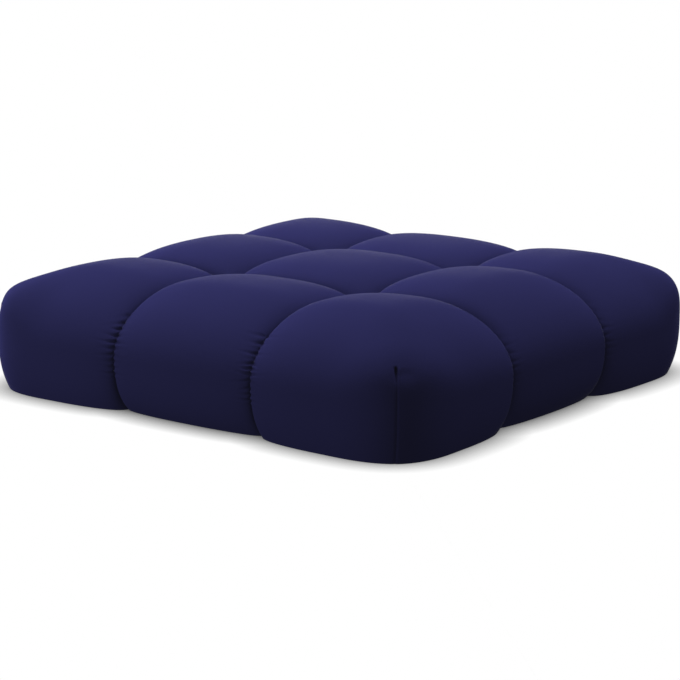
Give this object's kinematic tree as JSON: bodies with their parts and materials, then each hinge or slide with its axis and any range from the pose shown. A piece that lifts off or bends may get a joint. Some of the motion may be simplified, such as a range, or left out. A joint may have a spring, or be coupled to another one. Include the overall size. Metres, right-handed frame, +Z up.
{
  "type": "tufted square pouf",
  "caption": "Low square lounge pouf, a filled and upholstered body parted into soft square lobes by sewn channels, flat underneath.",
  "frame": {"origin": "middle of the underside, on the floor", "axes": "+Z up, +X and +Y along the two sewn channel directions, square to the pouf's sides"},
  "size_m": [1.281, 1.281, 0.3045],
  "materials": {
    "cover_fabric": "smooth matt navy stretch fabric with a faint fine weave"
  },
  "bodies": {
    "root": {"pouf": "cover_fabric"}
  },
  "joints": []
}
